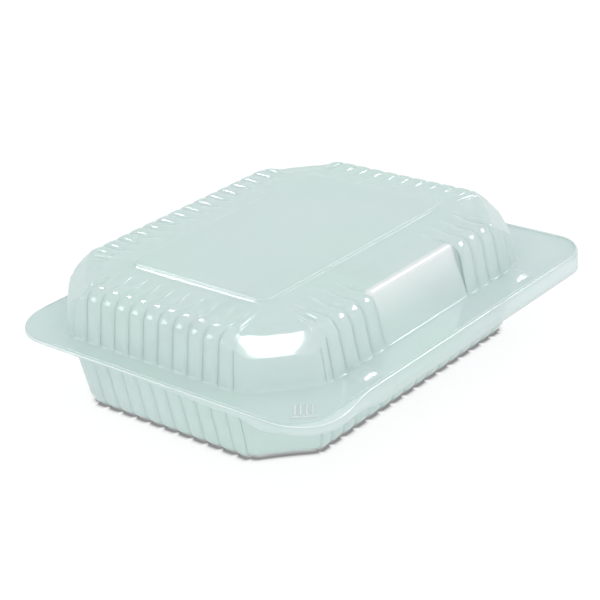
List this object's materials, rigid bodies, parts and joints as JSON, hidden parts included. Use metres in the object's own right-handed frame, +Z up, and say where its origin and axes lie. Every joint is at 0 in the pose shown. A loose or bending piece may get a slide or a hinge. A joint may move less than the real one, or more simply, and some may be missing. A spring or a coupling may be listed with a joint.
{
  "type": "hinged plastic clamshell food pack",
  "caption": "Clear hinged plastic food pack with fluted walls, a raised panel on the lid, a flanged rim and a smooth front panel.",
  "frame": {"origin": "centre of the tray's floor, on the surface that the pack stands on", "axes": "+X along the long side, -Y towards the opening side, +Y towards the hinge, +Z up"},
  "size_m": [0.235, 0.1995, 0.068],
  "materials": {
    "clear_sheet": "clear glossy thermoformed sheet with a pale green tint"
  },
  "bodies": {
    "tray": {"base_tray": "clear_sheet"},
    "lid": {"lid": "clear_sheet"}
  },
  "joints": [
    {"name": "lid_hinge", "type": "hinge", "parent": "tray", "child": "lid", "pos_m": [0, 0.091, 0.0395], "axis": [-1, 0, 0], "range_deg": [0, 180]}
  ]
}
